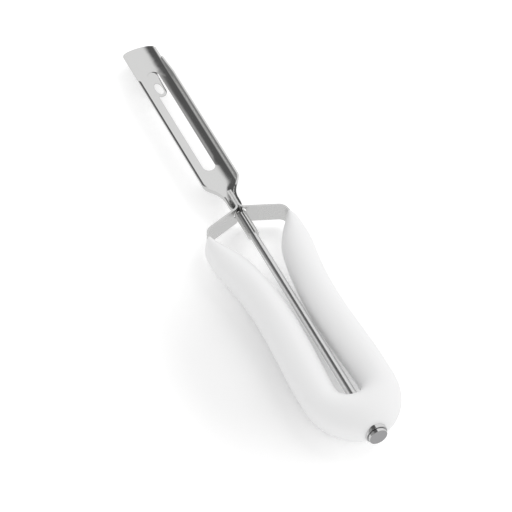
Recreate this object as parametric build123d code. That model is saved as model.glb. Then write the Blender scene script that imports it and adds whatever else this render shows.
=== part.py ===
from build123d import *
import math
import os

# A swivel vegetable peeler. A channel blade of thin sheet rolls into a tang round a steel
# shaft. The shaft turns in the two ends of a bent steel band and in a ferrule at the tail,
# and a soft white grip is moulded round the band. Millimetres, +Z up, blade towards +Y.
# While it is modelled, Y is measured from the point where the band ends meet the shaft and
# Z from the shaft's axis. The last step moves everything so that the origin lies under the
# middle of the whole part, on the surface that it rests on.

# Driving sizes of the blade, one stamped and rolled sheet
sheet = 0.6                # thickness of the blade's sheet
blade_reach = 85.3         # from the crossing to the rounded tip
blade_width = 13.1         # across the outside of the two walls
blade_rise = 2.8           # height of the walls above the lowest point of the floor
blade_drop = 1.65          # lowest point of the floor's middle sheet below the axis
floor_turn = 11.0          # degrees that the floor has curved up when it meets a corner
wall_turn = 82.0           # degrees from the floor to the walls
corner_radius = 1.3        # middle of the sheet in the corner between floor and wall
tip_corner = 4.4           # plan radius of the two corners of the tip
tip_crown = 11.0           # plan radius of the tip's front edge
wall_start = 8.6           # from the tip to where a wall starts to rise from the floor
wall_step = 0.8            # height at which a wall starts above the floor's edge
wall_full = 20.8           # from the tip to where a wall has its full height

# Cutting slot and the lanced tongue under its front end
slot_length = 51.0
slot_width = 4.2
slot_front = 12.9          # from the tip to the slot's rounded front end
slot_bevel = 18.0          # degrees that the slot's edge is ground back from below
tongue_length = 10.8       # of the tongue, along the slot
tongue_dip = 1.5           # how far the tongue lies below the floor
tongue_side_gap = 0.15     # between the tongue and the slot's sides
eye_length = 5.6           # oval hole in the tongue
eye_width = 2.6
eye_margin = 0.9           # sheet left behind the oval hole

# Neck and rolled tang
neck_length = 9.5          # from the shoulders back to the trough
neck_back = 5.0            # from the crossing to the back of the shoulders
trough_turn = 112.0        # degrees that each side of the open trough has turned
trough_radius = 1.95       # middle of the sheet in the trough
tang_turn = 165.0          # degrees that each side of the closed tang has turned
tang_length = 12.0         # behind the crossing

# Shaft, its button and the ferrule
shaft_diameter = 3.2       # in the ferrule and the button
shaft_front = 2.8          # where the tang is rolled round it
button_diameter = 6.0
button_length = 1.05
button_socket = 0.7        # how deep the shaft is pressed into the button
button_round = 0.2
end_play = 0.1             # between the button and the ferrule
ferrule_diameter = 4.6
ferrule_flange = 7.0       # diameter of the flange
ferrule_flange_length = 1.3
ferrule_proud = 0.2        # how far the flange stands out of the grip
ferrule_clearance = 0.08   # running fit round the shaft
flange_round = 0.25
bore_clearance = 0.4       # round the shaft where the grip lets it through

# Band, a strip that stands on edge
band_thickness = 0.7
band_width = 6.8
band_top = 2.55            # top edge above the shaft's axis
band_parting = 0.1         # between the two ends where they lie side by side
window_clearance = 0.3     # round the tang in the windows of the band
finger_reach = 7.3         # from the crossing to the front of the two fingers
finger_low = 0.8           # lower edge of the fingers below the axis
finger_start = 1.2         # from the crossing to where the fingers have their full depth
finger_round = 1.2         # lower front corners of the fingers
crossing_back = 0.7        # the two ends part this far behind the crossing
crossing_bend = 2.0
shoulder_inset = 0.7       # from the middle of a tip of the grip in to the band's corner
shoulder_back = 5.75       # the corners lie this far behind the crossing
shoulder_bend = 3.0
side_lead = 1.0            # from the grip's tips back to where the sides turn inwards

# Grip, the soft loop moulded round the band
grip_start = 8.7           # from the crossing back to the two tips
grip_end = 93.3            # from the crossing back to the middle of the tail
grip_spread = 14.3         # half the distance between the middles of the two tips
grip_half_width = 6.0      # half the width of an arm at its thickest
grip_half_height = 6.0     # half its height
grip_drop = 0.15           # middle of the grip below the middle of the band
tail_half_width = 7.8      # half the thickness of the tail's turn
tail_half_height = 6.9
waist_spread = 8.7         # half the distance between the band's sides at the waist

# One overrun takes every cut clear of the faces that it opens
overrun = 1.0

# Sizes that follow from these
tang_outer = shaft_front / 2 + sheet
tang_middle = shaft_front / 2 + sheet / 2
window_radius = tang_outer + window_clearance
band_middle = band_top - band_width / 2
neck_front = neck_back + neck_length
floor_half = blade_width / 2 - sheet / 2 - corner_radius
corner_length = corner_radius * math.radians(wall_turn - floor_turn)
wall_length = blade_rise - corner_radius
channel_blank = floor_half + corner_length + wall_length
trough_blank = trough_radius * math.radians(trough_turn)
tang_blank = tang_middle * math.radians(tang_turn)
shoulder_spread = grip_spread - shoulder_inset
tail_face = grip_end + tail_half_width
flange_face = tail_face + ferrule_proud
button_seat = flange_face + end_play
grip_middle = band_middle - grip_drop


def channel_turn(share):
    """Direction of the sheet at a share of the way from the blade's middle to its edge."""
    travelled = share * channel_blank
    if travelled <= floor_half:
        return floor_turn * travelled / floor_half
    bent = min((travelled - floor_half) / corner_length, 1)
    return floor_turn + (wall_turn - floor_turn) * bent


def sheet_line(blank, rolled, turn, bottom):
    """Points along the middle of the sheet, from its left edge to its right edge.

    Each half is the blank's own length, and its direction is part channel, part roll.
    """
    counts = 14
    steps = 12
    half = [(0, bottom, 0)]
    x = 0
    z = bottom
    for number in range(1, counts + 1):
        for step in range(steps):
            share = (number - 1 + (step + 1 / 2) / steps) / counts
            angle = math.radians((1 - rolled) * channel_turn(share) + rolled * turn * share)
            x += blank / counts / steps * math.cos(angle)
            z += blank / counts / steps * math.sin(angle)
        share = number / counts
        half.append((x, z, (1 - rolled) * channel_turn(share) + rolled * turn * share))
    left = [(-px, pz, -angle) for px, pz, angle in reversed(half[1:])]
    return left + half


def sheet_section(y, blank, rolled, turn, bottom):
    """Cross-section of the sheet at a place along the blade."""
    inner = []
    outer = []
    for x, z, angle in sheet_line(blank, rolled, turn, bottom):
        side = math.radians(angle)
        reach_x = sheet / 2 * math.sin(side)
        reach_z = sheet / 2 * math.cos(side)
        inner.append(Vector(x - reach_x, y, z + reach_z))
        outer.append(Vector(x + reach_x, y, z - reach_z))
    top = Spline(*inner)
    under = Spline(*outer)
    edges = [top, Line(top @ 1, under @ 1), under, Line(under @ 0, top @ 0)]
    return Face(Wire(edges))


def between(first, last, share):
    """A size part of the way from one size to another."""
    return first + (last - first) * share


def blade_blank_cut():
    """Solid that keeps what lies inside the blade's plan and under its rising walls."""
    side = blade_width / 2
    crown_back = tip_crown - math.sqrt(tip_crown**2 - side**2)
    corner = blade_reach - crown_back
    crown = ThreePointArc((-side, corner), (0, blade_reach), (side, corner))
    back = neck_front - overrun
    plan = Face(Wire([crown, Line((side, corner), (side, back)), Line((side, back), (-side, back)),
                      Line((-side, back), (-side, corner))]))
    front_corners = plan.vertices().sort_by(Axis.Y)[-2:]
    plan = fillet(front_corners, tip_corner)
    height = blade_rise + blade_drop + 2 * overrun
    plan_solid = extrude(Plane.XY.offset(-height) * plan, 2 * height, dir=(0, 0, 1))
    wall_top = blade_rise - blade_drop + sheet
    floor_top = -blade_drop + sheet + floor_half * math.tan(math.radians(floor_turn / 2))
    low = -height
    wall_profile = Plane.YZ * make_face(Polyline(
        (back, low),
        (blade_reach + overrun, low),
        (blade_reach + overrun, floor_top),
        (blade_reach - wall_start, floor_top),
        (blade_reach - wall_start, floor_top + wall_step),
        (blade_reach - wall_full, wall_top),
        (back, wall_top),
        close=True,
    ))
    return plan_solid & extrude(wall_profile, blade_width, both=True)


def slot_cutter():
    """The slot, ground back from below so that its upper edge is the sharp one."""
    middle = blade_reach - slot_front - slot_length / 2
    edge_height = -blade_drop + sheet / 2
    plan = Plane.XY.offset(edge_height) * Pos(0, middle) * SlotOverall(slot_length, slot_width, rotation=90)
    ground = extrude(plan, -2 * sheet, taper=-slot_bevel)
    return ground + extrude(plan, blade_rise)


def slot_tongue():
    """Sheet left inside the slot's front end, dipped under the floor, with an oval hole."""
    front = blade_reach - slot_front
    half = slot_width / 2 - tongue_side_gap
    level = -blade_drop
    low = level - tongue_dip
    root = (front + sheet, level)
    dip = Spline(
        root,
        (front - tongue_length / 3, between(level, low, 3 / 4)),
        (front - tongue_length - overrun, low),
        tangents=((-1, -1 / 2), (-1, 0)),
    )
    profile = Plane.YZ * trace(dip, sheet)
    strip = extrude(profile, half, both=True)
    plan_middle = front + (sheet - tongue_length) / 2
    keep = Pos(0, plan_middle) * SlotOverall(tongue_length + sheet, 2 * half, rotation=90)
    strip = strip & extrude(Plane.XY.offset(low - overrun) * keep, tongue_dip + 2 * overrun)
    eye_middle = front - tongue_length + eye_margin + eye_length / 2
    eye = Pos(0, eye_middle) * Ellipse(eye_width / 2, eye_length / 2)
    return strip - extrude(Plane.XY.offset(low - overrun) * eye, tongue_dip + 2 * overrun)


def make_blade():
    """Channel, neck and rolled tang of one sheet, with the cutting slot and its tongue."""
    channel_section = sheet_section(neck_front, channel_blank, 0, 0, -blade_drop)
    channel = extrude(channel_section, blade_reach - neck_front + overrun, dir=(0, 1, 0))
    channel = channel & blade_blank_cut()
    bottom = -tang_middle
    trough_back = finger_start
    neck_roll_shares = [(0, 0, 0), (0.22, 0.1, 0.14), (0.46, 0.42, 0.5), (0.72, 0.82, 0.84), (1, 1, 1)]
    sections = []
    for along, rolled, narrowed in neck_roll_shares:
        y = between(neck_front, neck_back, along)
        blank = between(channel_blank, trough_blank, narrowed)
        sections.append(sheet_section(y, blank, rolled, trough_turn, between(-blade_drop, bottom, along)))
    close_blank = tang_middle * math.radians(trough_turn)
    sections.append(sheet_section(trough_back, close_blank, 1, trough_turn, bottom))
    neck = loft(sections)
    closed = sheet_section(-window_radius, tang_blank, 1, tang_turn, bottom)
    closing = loft([sections[-1], closed], ruled=True)
    tang = extrude(closed, tang_length - window_radius, dir=(0, -1, 0))
    body = channel + neck + closing + tang - slot_cutter()
    return body + slot_tongue()


def make_shaft():
    """Rod that tapers from the button to the tang, with a parallel end in each of them."""
    tang_back = -tang_length
    tail = -button_seat - button_socket
    bearing = -grip_end + tail_half_width
    profile = Polyline(
        (0, -window_radius),
        (shaft_front / 2, -window_radius),
        (shaft_front / 2, tang_back),
        (shaft_diameter / 2, bearing),
        (shaft_diameter / 2, tail),
        (0, tail),
        close=True,
    )
    return revolve(make_face(profile), axis=Axis.Y)


def make_button():
    """Turned button pressed on the end of the shaft, with a rounded rim."""
    blank = Cylinder(button_diameter / 2, button_length, align=(Align.CENTER, Align.CENTER, Align.MIN))
    rim = blank.edges().filter_by(GeomType.CIRCLE).sort_by(Axis.Z)[-1]
    blank = fillet(rim, button_round)
    socket = Cylinder(shaft_diameter / 2, button_socket, align=(Align.CENTER, Align.CENTER, Align.MIN))
    return Pos(0, -button_seat, 0) * Rot(90, 0, 0) * (blank - socket)


def make_ferrule():
    """Flanged bush through the tail, from the outer face to the inside of the band."""
    length = flange_face - grip_end + band_thickness
    flange = Cylinder(ferrule_flange / 2, ferrule_flange_length, align=(Align.CENTER, Align.CENTER, Align.MIN))
    flange = fillet(flange.edges().filter_by(GeomType.CIRCLE).sort_by(Axis.Z)[0], flange_round)
    tube = Cylinder(ferrule_diameter / 2, length, align=(Align.CENTER, Align.CENTER, Align.MIN))
    bore = Cylinder(shaft_diameter / 2 + ferrule_clearance, length, align=(Align.CENTER, Align.CENTER, Align.MIN))
    return Pos(0, -flange_face, 0) * Rot(-90, 0, 0) * (flange + tube - bore)


def band_path():
    """Middle line of the strip: up one side of the shaft, round the tail and back."""
    inside = (band_thickness + band_parting) / 2
    right = [
        (inside, finger_reach),
        (inside, -crossing_back),
        (shoulder_spread, -shoulder_back),
        (grip_spread, -grip_start - side_lead),
        (waist_spread, -between(grip_start, grip_end, 0.42)),
        (waist_spread + band_thickness, -grip_end),
    ]
    bends = [crossing_bend, shoulder_bend, 3 * shoulder_bend, 12 * shoulder_bend, waist_spread - band_thickness]
    left = [(-x, y) for x, y in reversed(right)]
    return FilletPolyline(*(right + left), radius=bends + bends[::-1])


def make_band():
    """The strip, with a window for the tang in each arm and a finger in front of each."""
    path = band_path()
    start = Plane(origin=path @ 0, x_dir=(1, 0, 0), z_dir=path % 0)
    strip = sweep(start * Rectangle(band_thickness, band_width), path=path)
    strip = Pos(0, 0, band_middle) * strip
    window_back = 2 * window_radius + shoulder_back
    window = Cylinder(window_radius, window_back + finger_start, align=(Align.CENTER, Align.CENTER, Align.MIN))
    strip = strip - Pos(0, finger_start, 0) * Rot(90, 0, 0) * window
    low_height = band_width
    trim = Pos(0, 0, -finger_low) * Box(
        shoulder_spread, finger_reach + overrun, low_height, align=(Align.CENTER, Align.MIN, Align.MAX)
    )
    strip = strip - Pos(0, crossing_bend / 2, 0) * trim
    front_edges = strip.edges().filter_by(Axis.X).sort_by(Axis.Y)[-4:]
    strip = fillet(front_edges.sort_by(Axis.Z)[:2], finger_round)
    hole = Cylinder(ferrule_diameter / 2, 4 * band_thickness)
    return strip - Pos(0, -grip_end, 0) * Rot(90, 0, 0) * hole


def smooth_row(table_shares, along):
    """Row of a table of shares at any place along it, on a smooth curve through its rows."""
    last = len(table_shares) - 1
    number = max(place for place in range(last) if table_shares[place][0] <= along)
    before = table_shares[max(number - 1, 0)]
    start = table_shares[number]
    end = table_shares[number + 1]
    after = table_shares[min(number + 2, last)]
    span = end[0] - start[0]
    part = (along - start[0]) / span
    bend = part * part * (3 - 2 * part)
    lead = part * (1 - part) * (1 - part)
    trail = part * part * (part - 1)
    row = []
    for column in range(1, len(start)):
        slope_in = span * (end[column] - before[column]) / (end[0] - before[0])
        slope_out = span * (after[column] - start[column]) / (after[0] - start[0])
        row.append(between(start[column], end[column], bend) + lead * slope_in + trail * slope_out)
    return row


def grip_stations():
    """Place, turn, half width and half height of the moulding from the right tip to the left.

    The hole of the loop ends in a half circle, and the tail round it is half an oval.
    """
    # along the arm, half the spread, half the width, half the height, and how level the underside is
    arm_shares = [
        (0, 0.985, 0.17, 0.65, 0.1),
        (0.012, 0.992, 0.27, 0.7, 0.2),
        (0.04, 0.97, 0.48, 0.77, 0.55),
        (0.129, 0.843, 0.83, 0.88, 1),
        (0.241, 0.722, 0.93, 0.96, 1),
        (0.368, 0.631, 0.94, 1, 1),
        (0.519, 0.587, 0.97, 1, 1),
        (0.68, 0.602, 1, 1, 1),
        (0.868, 0.652, 1, 1, 1),
        (1, 0.665, 0.97, 1, 1),
    ]
    arm_steps = 12
    turn_steps = 8
    arm_wide = arm_shares[-1][2] * grip_half_width
    hole = arm_shares[-1][1] * grip_spread - arm_wide
    side = hole + 2 * arm_wide
    back = hole + 2 * tail_half_width
    arm_end = tail_face - back
    right = []
    for step in range(arm_steps):
        along = (step / arm_steps) ** (3 / 2)
        spread, width, height, level = smooth_row(arm_shares, along)
        y = -between(grip_start, arm_end, along)
        z = level * (height - 1) * grip_half_height
        right.append((spread * grip_spread, y, z, 0, width * grip_half_width, height * grip_half_height))
    for step in range(turn_steps):
        angle = math.pi / 2 * step / turn_steps
        outside = side * back / math.hypot(back * math.cos(angle), side * math.sin(angle))
        wide = (outside - hole) / 2
        high = between(grip_half_height, tail_half_height, math.sin(angle) ** 2)
        x = (hole + wide) * math.cos(angle)
        y = -arm_end - (hole + wide) * math.sin(angle)
        right.append((x, y, high - grip_half_height, angle, wide, high))
    left = [(-x, y, z, math.pi - angle, wide, high) for x, y, z, angle, wide, high in reversed(right)]
    tail = (0, -grip_end, tail_half_height - grip_half_height, math.pi / 2, tail_half_width, tail_half_height)
    return right + [tail] + left


def make_grip(band, ferrule):
    """Soft moulding: slender at its tips, full at the arms, heaviest round the tail.

    Every section is an oval of an upper and a lower half, which meet at the parting line.
    """
    oval = make_face([CenterArc((0, 0), 1, 0, 180), CenterArc((0, 0), 1, 180, 180)])
    faces = []
    for x, y, z, angle, wide, high in grip_stations():
        place = Vector(x, y, grip_middle + z)
        inward = Vector(-math.cos(angle), math.sin(angle), 0)
        ahead = Vector(-math.sin(angle), -math.cos(angle), 0)
        faces.append(Plane(origin=place, x_dir=inward, z_dir=ahead) * scale(oval, by=(wide, high, 1)))
    moulding = loft(faces)
    through = Cylinder(shaft_diameter / 2 + bore_clearance, 4 * tail_half_width)
    moulding = moulding - Pos(0, -grip_end, 0) * Rot(90, 0, 0) * through
    seat = Cylinder(ferrule_flange / 2, overrun + ferrule_flange_length, align=(Align.CENTER, Align.CENTER, Align.MIN))
    seat = Pos(0, -flange_face + ferrule_flange_length, 0) * Rot(90, 0, 0) * seat
    return moulding - seat - ferrule - band


ferrule = make_ferrule()
band = make_band()
nodes = {
    "blade": make_blade(),
    "shaft": make_shaft(),
    "shaft_button": make_button(),
    "tail_ferrule": ferrule,
    "frame_band": band,
    "grip": make_grip(band, ferrule),
}

# Origin under the middle of the whole part
tail_reach = button_seat + button_length
lowest = grip_middle - grip_half_height
shift = Pos(0, (tail_reach - blade_reach) / 2, -lowest)
for name, shape in nodes.items():
    placed = shift * shape
    placed.label = name
    export_step(placed, "parts/" + name + ".step")

print("overall length", round(tail_reach + blade_reach, 3))
print("crossing y", round((tail_reach - blade_reach) / 2, 3), "axis z", round(-lowest, 3))
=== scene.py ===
import math

import bpy
import numpy as np
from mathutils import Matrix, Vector


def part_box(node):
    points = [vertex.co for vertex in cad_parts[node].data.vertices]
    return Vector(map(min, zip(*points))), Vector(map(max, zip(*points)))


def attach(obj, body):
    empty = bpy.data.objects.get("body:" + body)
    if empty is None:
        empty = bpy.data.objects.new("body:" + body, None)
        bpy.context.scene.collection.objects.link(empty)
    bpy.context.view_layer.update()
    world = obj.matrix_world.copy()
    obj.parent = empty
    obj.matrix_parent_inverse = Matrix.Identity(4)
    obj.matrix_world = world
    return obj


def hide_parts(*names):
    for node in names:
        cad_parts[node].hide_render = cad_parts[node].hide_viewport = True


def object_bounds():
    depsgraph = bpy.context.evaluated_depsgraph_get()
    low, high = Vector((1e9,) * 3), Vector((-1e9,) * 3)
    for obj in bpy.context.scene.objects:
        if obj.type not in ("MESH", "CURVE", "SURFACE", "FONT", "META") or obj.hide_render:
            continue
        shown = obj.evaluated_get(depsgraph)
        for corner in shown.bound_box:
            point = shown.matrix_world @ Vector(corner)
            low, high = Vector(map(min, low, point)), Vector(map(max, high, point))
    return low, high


# %% [markdown]
# # A swivel vegetable peeler
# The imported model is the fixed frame: a blade of thin sheet rolled round a steel rod, a bent
# steel band that carries the rod, and a white grip moulded round the band. The steel pieces of
# the frame have their exact shape already, so they only get their finish. The grip is a soft,
# flowing form, so it is made again here as one fine smooth skin. At the end everything is lit
# as a small object on a white table is lit.

# %% The frame
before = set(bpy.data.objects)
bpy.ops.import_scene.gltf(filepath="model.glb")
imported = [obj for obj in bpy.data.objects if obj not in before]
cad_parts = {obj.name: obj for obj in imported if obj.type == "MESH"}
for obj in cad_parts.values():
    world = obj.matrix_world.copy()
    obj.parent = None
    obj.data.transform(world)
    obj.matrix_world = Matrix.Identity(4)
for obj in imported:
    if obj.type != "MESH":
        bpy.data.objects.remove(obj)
cad_low, cad_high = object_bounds()
blade_reach = 0.0853
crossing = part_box("blade")[1][1] - blade_reach
axis = (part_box("shaft")[0][2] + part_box("shaft")[1][2]) / 2
print("frame from", [round(v, 4) for v in cad_low], "to", [round(v, 4) for v in cad_high])
print("rod and band cross at y", round(crossing, 5), "axis at z", round(axis, 5))

# %% [markdown]
# ## Shared effects
# Polished and tumbled steel look alike from afar. Close up they differ by the direction and
# size of their marks. Each kind of mark is one node group, built once, so that every piece can
# use it with its own values.

# %% Two small helpers for node trees
def add_node(tree, kind, place, **settings):
    """A node of a kind at a place in the tree, with its properties set by name."""
    node = tree.nodes.new(kind)
    node.location = place
    for name, value in settings.items():
        setattr(node, name, value)
    return node


def group_with(name, inputs, outputs):
    """An empty shader node group with named sockets: name, kind and value of each."""
    tree = bpy.data.node_groups.new(name, "ShaderNodeTree")
    for label, kind, value in inputs:
        socket = tree.interface.new_socket(label, in_out="INPUT", socket_type=kind)
        socket.default_value = value
    for label, kind in outputs:
        tree.interface.new_socket(label, in_out="OUTPUT", socket_type=kind)
    source = add_node(tree, "NodeGroupInput", (-900, 0))
    sink = add_node(tree, "NodeGroupOutput", (900, 0))
    return tree, source, sink


# %% [markdown]
# ### Drawn lines
# A belt or a die drags fine lines along the metal. They could be painted, but a noise that is
# stretched along the object gives the same thing at any size and runs through every piece.

# %% Group: fine drawn lines along the object
def make_drawn_lines():
    """Noise stretched along Y, so that it becomes lines, as a polishing belt leaves them.

    height = noise(x * density, y * density * stretch, z * density)
    """
    tree, source, sink = group_with(
        "drawn_lines",
        [("Density", "NodeSocketFloat", 900.0), ("Stretch", "NodeSocketFloat", 0.03)],
        [("Height", "NodeSocketFloat")],
    )
    place = add_node(tree, "ShaderNodeTexCoord", (-900, 300))
    squeeze = add_node(tree, "ShaderNodeCombineXYZ", (-650, 100))
    squeeze.inputs["X"].default_value = 1
    squeeze.inputs["Z"].default_value = 1
    narrow = add_node(tree, "ShaderNodeVectorMath", (-400, 250), operation="MULTIPLY")
    noise = add_node(tree, "ShaderNodeTexNoise", (-100, 200))
    noise.inputs["Detail"].default_value = 3
    tree.links.new(source.outputs["Stretch"], squeeze.inputs["Y"])
    tree.links.new(place.outputs["Object"], narrow.inputs[0])
    tree.links.new(squeeze.outputs[0], narrow.inputs[1])
    tree.links.new(narrow.outputs[0], noise.inputs["Vector"])
    tree.links.new(source.outputs["Density"], noise.inputs["Scale"])
    tree.links.new(noise.outputs["Fac"], sink.inputs["Height"])
    return tree


drawn_lines = make_drawn_lines()
print("group", drawn_lines.name, "with", len(drawn_lines.nodes), "nodes")

# %% [markdown]
# ### Handling marks
# Metal that is held and wiped is never evenly bright. Soft patches of a slightly duller shine
# are enough, so this group puts out a roughness that wanders between two values.

# %% Group: handling marks
def make_handling_marks():
    """Soft patches that a cloth or a thumb leaves.

    roughness = clean where the noise is below 0.35, dull where it is above 0.7
    """
    tree, source, sink = group_with(
        "handling_marks",
        [
            ("Size", "NodeSocketFloat", 60.0),
            ("Clean", "NodeSocketFloat", 0.08),
            ("Dull", "NodeSocketFloat", 0.16),
        ],
        [("Roughness", "NodeSocketFloat")],
    )
    place = add_node(tree, "ShaderNodeTexCoord", (-900, 300))
    noise = add_node(tree, "ShaderNodeTexNoise", (-500, 200))
    noise.inputs["Detail"].default_value = 5
    spread = add_node(tree, "ShaderNodeMapRange", (-100, 200))
    spread.inputs["From Min"].default_value = 0.35
    spread.inputs["From Max"].default_value = 0.7
    tree.links.new(place.outputs["Object"], noise.inputs["Vector"])
    tree.links.new(source.outputs["Size"], noise.inputs["Scale"])
    tree.links.new(noise.outputs["Fac"], spread.inputs["Value"])
    tree.links.new(source.outputs["Clean"], spread.inputs["To Min"])
    tree.links.new(source.outputs["Dull"], spread.inputs["To Max"])
    tree.links.new(spread.outputs["Result"], sink.inputs["Roughness"])
    return tree


handling_marks = make_handling_marks()
print("group", handling_marks.name, "with", len(handling_marks.nodes), "nodes")

# %% [markdown]
# ## The steels
# The blade is polished sheet, the rod is bright drawn bar, the button and its bush are turned,
# and the band is cut strip that was tumbled. One recipe serves them all: plain metal whose
# shine comes from the handling marks and whose fine relief comes from the drawn lines.

# %% A steel with its own lines and marks
def make_steel(name, colour, clean, dull, size, density, stretch, line_depth):
    """Principled metal, roughness from the marks, bump from the lines."""
    material = bpy.data.materials.new(name)
    material.use_nodes = True
    tree = material.node_tree
    shader = tree.nodes["Principled BSDF"]
    shader.inputs["Base Color"].default_value = (*colour, 1)
    shader.inputs["Metallic"].default_value = 1
    marks = add_node(tree, "ShaderNodeGroup", (-500, 100), node_tree=handling_marks)
    marks.inputs["Size"].default_value = size
    marks.inputs["Clean"].default_value = clean
    marks.inputs["Dull"].default_value = dull
    lines = add_node(tree, "ShaderNodeGroup", (-700, -200), node_tree=drawn_lines)
    lines.inputs["Density"].default_value = density
    lines.inputs["Stretch"].default_value = stretch
    bump = add_node(tree, "ShaderNodeBump", (-400, -200))
    bump.inputs["Distance"].default_value = line_depth
    bump.inputs["Strength"].default_value = 0.5
    tree.links.new(marks.outputs["Roughness"], shader.inputs["Roughness"])
    tree.links.new(lines.outputs["Height"], bump.inputs["Height"])
    tree.links.new(bump.outputs["Normal"], shader.inputs["Normal"])
    return material


def finish_node(name, material):
    """Gives a node of the frame one material, whatever it came with."""
    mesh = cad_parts[name].data
    mesh.materials.clear()
    mesh.materials.append(material)
    mesh.polygons.foreach_set("material_index", np.zeros(len(mesh.polygons), dtype=np.int32))
    print(name, "now has", material.name)


# %% Blade, rod and band
blade_steel = make_steel(
    "polished_blade_steel", (0.78, 0.78, 0.775), clean=0.06, dull=0.13, size=60,
    density=900, stretch=0.02, line_depth=0.000004,
)
rod_steel = make_steel(
    "bright_rod_steel", (0.80, 0.80, 0.80), clean=0.17, dull=0.24, size=90,
    density=1500, stretch=0.01, line_depth=0.000004,
)
band_steel = make_steel(
    "tumbled_band_steel", (0.76, 0.76, 0.755), clean=0.24, dull=0.33, size=220,
    density=420, stretch=1.0, line_depth=0.0000025,
)
finish_node("blade", blade_steel)
finish_node("shaft", rod_steel)
finish_node("frame_band", band_steel)

# %% [markdown]
# ## Turned ends
# The button and the bush round it come off a lathe. Their flat end faces are painted greyer than
# their bright sides, a painted shade for the darker reflection these faces show. Which way a face
# looks tells the two apart: the Normal output of Texture Coordinate is the direction in the
# object's own space.

# %% Steel with painted shade on its end faces
def make_turned_steel():
    """Turned steel with painted end shade: share of end = smooth step of how far the normal lies
    along Y.
    """
    material = make_steel(
        "turned_steel", (0.78, 0.78, 0.78), clean=0.06, dull=0.12, size=120,
        density=1500, stretch=1.0, line_depth=0.000002,
    )
    tree = material.node_tree
    shader = tree.nodes["Principled BSDF"]
    place = add_node(tree, "ShaderNodeTexCoord", (-1300, 500))
    split = add_node(tree, "ShaderNodeSeparateXYZ", (-1100, 500))
    flat = add_node(tree, "ShaderNodeMath", (-900, 500), operation="ABSOLUTE")
    share = add_node(tree, "ShaderNodeMapRange", (-700, 500), interpolation_type="SMOOTHSTEP")
    share.inputs["From Min"].default_value = 0.75
    share.inputs["From Max"].default_value = 0.97
    # painted shade: faces that look along Y get a greyer base colour than the sides
    painted_end_shade = add_node(tree, "ShaderNodeMix", (-400, 500), data_type="RGBA")
    painted_end_shade.inputs["A"].default_value = (0.78, 0.78, 0.78, 1)
    painted_end_shade.inputs["B"].default_value = (0.46, 0.46, 0.465, 1)
    tree.links.new(place.outputs["Normal"], split.inputs[0])
    tree.links.new(split.outputs["Y"], flat.inputs[0])
    tree.links.new(flat.outputs[0], share.inputs["Value"])
    tree.links.new(share.outputs["Result"], painted_end_shade.inputs["Factor"])
    tree.links.new(painted_end_shade.outputs["Result"], shader.inputs["Base Color"])
    return material


turned_steel = make_turned_steel()
finish_node("shaft_button", turned_steel)
finish_node("tail_ferrule", turned_steel)

# %% [markdown]
# ## The grip
# The grip is a loop: it starts as a slender tip round one end of the band, swells into an arm,
# turns round the tail and comes back as a mirror image. It could be modelled with a
# subdivision cage, but its sections are all ovals, so it is easier to say what the oval is at
# a few stations and let a smooth curve run through them. Every section is a ring of points
# round the line of the loop.

# %% The stations, in millimetres from where rod and band cross
# along the arm, half the spread, half the width, half the height, how level the underside is
arm_rows = np.array([
    (0.0, 0.985, 0.17, 0.65, 0.1),
    (0.012, 0.992, 0.27, 0.7, 0.2),
    (0.04, 0.97, 0.48, 0.77, 0.55),
    (0.08, 0.91, 0.664, 0.826, 0.8),
    (0.129, 0.843, 0.83, 0.88, 1),
    (0.241, 0.722, 0.93, 0.96, 1),
    (0.368, 0.631, 0.94, 1, 1),
    (0.519, 0.587, 0.97, 1, 1),
    (0.68, 0.602, 1, 1, 1),
    (0.868, 0.652, 1, 1, 1),
])
arm_spread, arm_half = 14.3, 6.0
end_spread, end_width = 0.665, 0.97
tail_wide, tail_high = 7.8, 6.9
tip_at, tail_at = 8.7, 101.1
middle_drop = 1.0
turn_stations = 9
per_metre = 1000
hole = end_spread * arm_spread - end_width * arm_half
arm_end = tail_at - hole - 2 * tail_wide
print("hole of the loop", round(2 * hole, 2), "mm wide, arms end at", round(arm_end, 2), "mm")


# %% Stations of the whole loop
def loop_stations():
    """Columns x, y, z, turn, half width and half height, from the right tip to the left.

    arms: x = spread, y = share of the way back, z keeps the underside level
    tail: the inner side is a half circle, the outer side half an ellipse, so
          width = side * back / hypot(back * cos(turn), side * sin(turn)) - hole
    """
    along, spread, width, height, level = arm_rows.T
    arm = np.stack([
        spread * arm_spread, -(tip_at + (arm_end - tip_at) * along),
        level * (height - 1) * arm_half, np.zeros_like(along), width * arm_half, height * arm_half,
    ], axis=1)
    turn = np.linspace(0, np.pi / 2, turn_stations)
    side, back = hole + 2 * end_width * arm_half, hole + 2 * tail_wide
    wide = (side * back / np.hypot(back * np.cos(turn), side * np.sin(turn)) - hole) / 2
    high = arm_half + (tail_high - arm_half) * np.sin(turn) ** 2
    tail = np.stack([
        (hole + wide) * np.cos(turn), -arm_end - (hole + wide) * np.sin(turn), high - arm_half,
        turn, wide, high,
    ], axis=1)
    right = np.vstack([arm, tail])
    left = right[-2::-1] * np.array([-1, 1, 1, -1, 1, 1]) + np.array([0, 0, 0, np.pi, 0, 0])
    return np.vstack([right, left])


stations = loop_stations()
print(len(stations), "stations from tip to tip")


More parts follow.
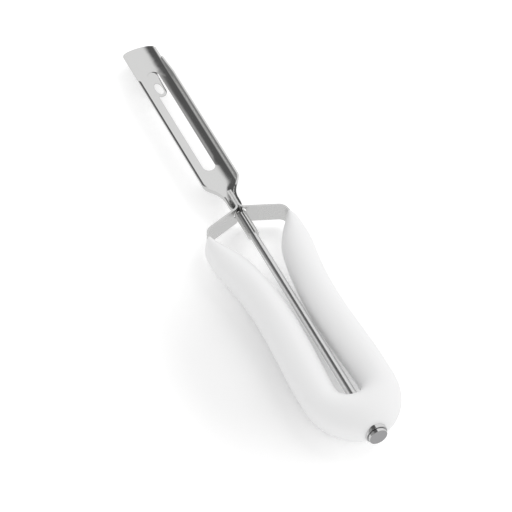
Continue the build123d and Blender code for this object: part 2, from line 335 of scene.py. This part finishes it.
# %% One smooth curve through all of them
def smooth_curve(knots, values, at):
    """Natural cubic spline through the columns of values, for all places at once.

    Its second derivatives m solve, at every inner knot with the steps h0 and h1 beside it,
    h0*m0 + 2*(h0 + h1)*m1 + h1*m2 = 6 * change of slope, and are 0 at both ends.
    """
    step = np.diff(knots)
    slope = np.diff(values, axis=0) / step[:, None]
    inner = np.arange(1, len(knots) - 1)
    system = np.eye(len(knots))
    system[inner, inner - 1] = step[:-1]
    system[inner, inner] = 2 * (step[:-1] + step[1:])
    system[inner, inner + 1] = step[1:]
    right = np.zeros_like(values)
    right[1:-1] = 6 * np.diff(slope, axis=0)
    bend = np.linalg.solve(system, right)
    here = np.clip(np.searchsorted(knots, at, side="right") - 1, 0, len(step) - 1)
    width = step[here][:, None]
    after, before = (knots[here + 1] - at)[:, None], (at - knots[here])[:, None]
    curved = (bend[here] * after**3 + bend[here + 1] * before**3) / (6 * width)
    start = (values[here] / width - bend[here] * width / 6) * after
    end = (values[here + 1] / width - bend[here + 1] * width / 6) * before
    return curved + start + end


knots = np.concatenate([[0], np.cumsum(np.linalg.norm(np.diff(stations[:, :3], axis=0), axis=1))])
print("the loop's line is", round(float(knots[-1]), 1), "mm long")


# %% [markdown]
# ### The skin
# Two details make it a moulding. Its tips are rounded where the band comes out, and a very
# fine line runs round its middle, where the two halves of the mould met. The rings are closer
# together at the tips, and the points of a ring are closer together at the line, because that
# is where the detail is.

# %% Rings of the skin
tip_round, nose_rings = 0.35, 8
line_depth, line_width = 0.045, 0.13
gather = 0.35


def grip_rings(around=128, spacing=0.55):
    """Points of the skin, ring by ring, in metres.

    point = station + inward * (half width * cos(t)) + up * (half height * sin(t))
    t = s - gather * sin(2 * s), so that points are closer together at the mould line
    the tips lose r - sqrt(r*r - (r - distance)**2) all round, which rounds them
    s runs backwards, so that the faces look outwards
    """
    length = knots[-1]
    nose = tip_round * (1 - np.cos(np.linspace(0, np.pi / 2, nose_rings)))
    middle = np.linspace(tip_round, length - tip_round, int(length / spacing))
    at = np.concatenate([nose[:-1], middle, (length - nose[:-1])[::-1]])
    x, y, z, turn, wide, high = smooth_curve(knots, stations, at).T[:, :, None]
    near = np.minimum(np.minimum(at, length - at), tip_round)[:, None]
    lost = tip_round - np.sqrt(tip_round**2 - (tip_round - near) ** 2)
    s = np.linspace(2 * np.pi, 0, around, endpoint=False)[None, :]
    t = s - gather * np.sin(2 * s)
    up = (high - lost) * np.sin(t)
    groove = line_depth * np.exp(-((up / line_width) ** 2)) * (near / tip_round)
    groove = groove * np.sign(np.cos(t))
    inward = (wide - lost) * np.cos(t) - groove
    x, y, z = x - inward * np.cos(turn), y + inward * np.sin(turn), z + up - middle_drop
    return np.stack([x, y, z], axis=-1) / per_metre + np.array([0, crossing, axis])


rings = grip_rings()
print(rings.shape[0], "rings of", rings.shape[1], "points")


# %% From rings to a closed mesh
def skin_mesh(name, rings):
    """Quads between neighbouring rings, and a fan to one middle point at each end."""
    count, around = rings.shape[:2]
    number = np.arange(count * around).reshape(count, around)
    ahead = np.roll(number, -1, axis=1)
    quads = np.stack([number[:-1], ahead[:-1], ahead[1:], number[1:]], axis=-1).reshape(-1, 4)
    ends = np.stack([rings[0].mean(axis=0), rings[-1].mean(axis=0)])
    first = np.stack([np.full(around, count * around), ahead[0], number[0]], axis=-1)
    last = np.stack([np.full(around, count * around + 1), number[-1], ahead[-1]], axis=-1)
    points = np.vstack([rings.reshape(-1, 3), ends])
    mesh = bpy.data.meshes.new(name)
    mesh.from_pydata(points, [], quads.tolist() + first.tolist() + last.tolist())
    return mesh


def volume_of(mesh):
    """Volume in cubic metres: sum of the signed tetrahedra from the origin to every triangle."""
    mesh.calc_loop_triangles()
    corners = np.empty(len(mesh.loop_triangles) * 3, dtype=np.int32)
    mesh.loop_triangles.foreach_get("vertices", corners)
    places = np.empty(len(mesh.vertices) * 3)
    mesh.vertices.foreach_get("co", places)
    a, b, c = places.reshape(-1, 3)[corners.reshape(-1, 3)].transpose(1, 0, 2)
    return float(np.einsum("ij,ij->", a, np.cross(b, c)) / 6)


def add_piece(mesh):
    """A mesh as an object at the origin of the scene."""
    piece = bpy.data.objects.new(mesh.name, mesh)
    bpy.context.scene.collection.objects.link(piece)
    return piece


grip_skin = add_piece(skin_mesh("grip_skin", rings))
print("skin holds", round(volume_of(grip_skin.data) * 1e6, 2), "cubic centimetres")


# %% [markdown]
# ### The hole for the rod
# The rod goes through the tail, and the bush has a round seat there. Both are cut with plain
# round bars and the Boolean modifier, whose result is kept as the grip's own mesh.

# %% Cutting the bore and the seat
def round_bar(name, radius, start, end, sides=96):
    """A bar along Y: two circles of points, closed at both ends by one middle point each."""
    angle = np.linspace(0, 2 * np.pi, sides, endpoint=False)
    circle = np.stack([radius * np.cos(angle), np.zeros(sides), radius * np.sin(angle)], axis=-1)
    centre = np.array([0, 0, axis])
    return add_piece(skin_mesh(name, np.stack([
        circle + centre + np.array([0, end, 0]), circle + centre + np.array([0, start, 0])])))


def cut_away(piece, bars):
    """Takes the bars out of the piece, keeps the result as its mesh and removes the bars."""
    for bar in bars:
        cut = piece.modifiers.new(bar.name, "BOOLEAN")
        cut.operation, cut.solver, cut.object = "DIFFERENCE", "EXACT", bar
    graph = bpy.context.evaluated_depsgraph_get()
    mesh = bpy.data.meshes.new_from_object(piece.evaluated_get(graph))
    piece.modifiers.clear()
    piece.data = mesh
    for bar in bars:
        bpy.data.objects.remove(bar)


bore_radius, flange_length, slack = 0.0020, 0.0013, 0.00002
loop_inside, behind_tail = crossing - 0.080, crossing - 0.110
flange_low, flange_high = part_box("tail_ferrule")
seat_radius = (flange_high[0] - flange_low[0]) / 2 + slack
bore = round_bar("bore", bore_radius, behind_tail, loop_inside)
seat = round_bar("seat", seat_radius, behind_tail, flange_low[1] + flange_length)
print("bars hold", volume_of(bore.data), volume_of(seat.data))
cut_away(grip_skin, [bore, seat])
print("cut skin holds", round(volume_of(grip_skin.data) * 1e6, 2), "cubic centimetres")


# %% [markdown]
# ### The plastic
# It is a satin white moulding. The mould was spark-eroded, which leaves a grain far finer than
# a millimetre, and hands have polished it a little here and there.

# %% The white plastic of the grip
def make_grip_plastic():
    """Satin white with a very fine grain, and soft patches of a slightly higher shine."""
    material = bpy.data.materials.new("satin_white_plastic")
    material.use_nodes = True
    tree = material.node_tree
    shader = tree.nodes["Principled BSDF"]
    shader.inputs["Base Color"].default_value = (0.88, 0.88, 0.882, 1)
    marks = add_node(tree, "ShaderNodeGroup", (-500, 100), node_tree=handling_marks)
    marks.inputs["Clean"].default_value = 0.38
    marks.inputs["Dull"].default_value = 0.52
    grain = add_node(tree, "ShaderNodeTexNoise", (-700, -200))
    grain.inputs["Scale"].default_value = 2500
    place = add_node(tree, "ShaderNodeTexCoord", (-900, -200))
    bump = add_node(tree, "ShaderNodeBump", (-400, -200))
    bump.inputs["Distance"].default_value = 0.00001
    bump.inputs["Strength"].default_value = 0.3
    tree.links.new(marks.outputs["Roughness"], shader.inputs["Roughness"])
    tree.links.new(place.outputs["Object"], grain.inputs["Vector"])
    tree.links.new(grain.outputs["Fac"], bump.inputs["Height"])
    tree.links.new(bump.outputs["Normal"], shader.inputs["Normal"])
    return material


grip_plastic = make_grip_plastic()
finish_node("grip", grip_plastic)

# %% The skin takes the place of the grip
grip_skin.data.materials.clear()
grip_skin.data.materials.append(grip_plastic)
smooth = np.ones(len(grip_skin.data.polygons), dtype=bool)
grip_skin.data.polygons.foreach_set("use_smooth", smooth)
crease = math.radians(35)
grip_skin.data.set_sharp_from_angle(angle=crease)
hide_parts("grip")
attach(grip_skin, "handle")
skin_box = np.array(grip_skin.bound_box)
print("skin from", skin_box.min(axis=0).round(5), "to", skin_box.max(axis=0).round(5))
solid_low, solid_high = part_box("grip")
print("solid from", [round(v, 5) for v in solid_low], "to", [round(v, 5) for v in solid_high])

# %% [markdown]
# ## The table and the light
# White things on white are lit with an even tent of light and one softer, brighter side at the
# upper right, on a table that gives off light of its own, bright enough to come out as white.
# The grip's shadow then falls to its left, deepened by a painted shadow: a patch there where the
# table gives off no light. Polished steel shows what stands round it, so the room that only it
# sees is bright on the right and dark on the left.

# %% The table
def make_table():
    """A wide flat square under the peeler, shining as if lit from below but for a painted shadow,
    a patch left of the grip.

    glow_except_painted_shadow = smooth step of the distance from the painted shadow's middle,
    measured in its two radii
    A ray that steel mirrors sees an even, slightly greyer table.
    """
    half = 3.0
    # painted shadow: a patch of the table left of the grip gives off no light, so the ground is
    # darker where the grip's shadow falls
    painted_shadow_middle, painted_shadow_radii = (-0.026, crossing - 0.056, 0), (0.028, 0.048, 1)
    mesh = bpy.data.meshes.new("table")
    corners = [(-half, -half, 0), (half, -half, 0), (half, half, 0), (-half, half, 0)]
    mesh.from_pydata(corners, [], [(0, 1, 2, 3)])
    table = add_piece(mesh)
    material = bpy.data.materials.new("white_table")
    material.use_nodes = True
    shader = material.node_tree.nodes["Principled BSDF"]
    shader.inputs["Base Color"].default_value = (0.95, 0.95, 0.95, 1)
    shader.inputs["Roughness"].default_value = 0.9
    shader.inputs["Specular IOR Level"].default_value = 0.1
    shader.inputs["Emission Strength"].default_value = 0.28
    tree = material.node_tree
    place = add_node(tree, "ShaderNodeTexCoord", (-1100, 0))
    around = add_node(tree, "ShaderNodeMapping", (-900, 0), vector_type="TEXTURE")
    around.inputs["Location"].default_value = painted_shadow_middle
    around.inputs["Scale"].default_value = painted_shadow_radii
    reach = add_node(tree, "ShaderNodeVectorMath", (-700, 0), operation="LENGTH")
    # painted shadow: the table's own light rises by a smooth step from none in the patch to full
    # outside it
    glow_except_painted_shadow = add_node(tree, "ShaderNodeMapRange", (-500, 0), interpolation_type="SMOOTHSTEP")
    glow_except_painted_shadow.inputs["From Min"].default_value = 0.25
    glow_except_painted_shadow.inputs["From Max"].default_value = 1.55
    tree.links.new(place.outputs["Object"], around.inputs["Vector"])
    tree.links.new(around.outputs["Vector"], reach.inputs[0])
    tree.links.new(reach.outputs["Value"], glow_except_painted_shadow.inputs["Value"])
    tree.links.new(glow_except_painted_shadow.outputs["Result"], shader.inputs["Emission Color"])
    mirrored = add_node(tree, "ShaderNodeEmission", (300, -200))
    mirrored.inputs["Color"].default_value = (0.74, 0.74, 0.74, 1)
    ray = add_node(tree, "ShaderNodeLightPath", (300, 300))
    either = add_node(tree, "ShaderNodeMixShader", (500, 0))
    out = tree.nodes["Material Output"]
    tree.links.new(ray.outputs["Is Glossy Ray"], either.inputs["Fac"])
    tree.links.new(shader.outputs[0], either.inputs[1])
    tree.links.new(mirrored.outputs[0], either.inputs[2])
    tree.links.new(either.outputs[0], out.inputs["Surface"])
    mesh.materials.append(material)
    return table


table = make_table()
print("table", [round(v, 2) for v in table.dimensions])


# %% The room
def make_room():
    """World light by direction: an even white tent, which polished steel sees as two halves.

    tone in steel = dark left half + bright right half, with a grey wall at the far left,
    each a smooth step of the direction's X
    """
    world = bpy.data.worlds.new("studio")
    bpy.context.scene.world = world
    world.use_nodes = True
    tree = world.node_tree
    tree.nodes.clear()
    place = add_node(tree, "ShaderNodeTexCoord", (-900, 0))
    split = add_node(tree, "ShaderNodeSeparateXYZ", (-700, 0))
    edge = add_node(tree, "ShaderNodeMapRange", (-500, 0), interpolation_type="SMOOTHSTEP")
    edge.inputs["From Min"].default_value = 0.06
    edge.inputs["From Max"].default_value = 0.16
    edge.inputs["To Min"].default_value = 0.10
    edge.inputs["To Max"].default_value = 0.84
    wall = add_node(tree, "ShaderNodeMapRange", (-500, -300), interpolation_type="SMOOTHSTEP")
    wall.inputs["From Min"].default_value = -0.35
    wall.inputs["From Max"].default_value = -0.65
    wall.inputs["To Min"].default_value = 0.0
    wall.inputs["To Max"].default_value = 0.22
    both = add_node(tree, "ShaderNodeMath", (-350, -150), operation="ADD")
    seen = add_node(tree, "ShaderNodeBackground", (-200, -100))
    tent = add_node(tree, "ShaderNodeBackground", (-200, 100))
    tent.inputs["Strength"].default_value = 1.05
    ray = add_node(tree, "ShaderNodeLightPath", (-200, 400))
    either = add_node(tree, "ShaderNodeMixShader", (100, 0))
    out = add_node(tree, "ShaderNodeOutputWorld", (300, 0))
    tree.links.new(place.outputs["Generated"], split.inputs[0])
    tree.links.new(split.outputs["X"], edge.inputs["Value"])
    tree.links.new(split.outputs["X"], wall.inputs["Value"])
    tree.links.new(edge.outputs["Result"], both.inputs[0])
    tree.links.new(wall.outputs["Result"], both.inputs[1])
    tree.links.new(both.outputs[0], seen.inputs["Color"])
    tree.links.new(ray.outputs["Is Glossy Ray"], either.inputs["Fac"])
    tree.links.new(tent.outputs[0], either.inputs[1])
    tree.links.new(seen.outputs[0], either.inputs[2])
    tree.links.new(either.outputs[0], out.inputs["Surface"])
    return world


room = make_room()
print("room", room.name)


# %% The lamp
def make_lamp(name, place, target, size, power):
    """A square soft light that looks at a point."""
    data = bpy.data.lights.new(name, "AREA")
    data.size = size
    data.energy = power
    lamp = bpy.data.objects.new(name, data)
    lamp.location = place
    lamp.rotation_euler = (Vector(target) - Vector(place)).to_track_quat("-Z", "Y").to_euler()
    bpy.context.scene.collection.objects.link(lamp)
    return lamp


middle = (cad_low + cad_high) / 2
key = make_lamp("key", (0.80, 0.25, 0.85), middle, 0.70, 3.0)
key.visible_glossy = False
print("key light of", key.data.energy, "watts at", [round(v, 2) for v in key.location])

# %% [markdown]
# ## The camera
# The photograph was taken with a long lens from above the tail. Its direction, distance and
# focal length were worked out from the straight rod and the two mirror halves of the band.

# %% The camera
def make_camera():
    """Looks from azimuth and elevation at a point just behind the crossing of rod and band."""
    azimuth = math.radians(-24.56)
    elevation = math.radians(47.86)
    distance = 0.829
    look_left, look_back = 0.003, 0.0205
    target = Vector((-look_left, crossing - look_back, axis))
    back = Vector((
        math.sin(azimuth) * math.cos(elevation),
        -math.cos(azimuth) * math.cos(elevation),
        math.sin(elevation),
    ))
    data = bpy.data.cameras.new("camera")
    data.lens = 182.9
    data.sensor_width = 36
    camera = bpy.data.objects.new("camera", data)
    camera.location = target + distance * back
    camera.rotation_euler = (-back).to_track_quat("-Z", "Y").to_euler()
    bpy.context.scene.collection.objects.link(camera)
    bpy.context.scene.camera = camera
    return camera


camera = make_camera()
bpy.context.scene.view_settings.view_transform = "Standard"
print("camera at", [round(v, 3) for v in camera.location])
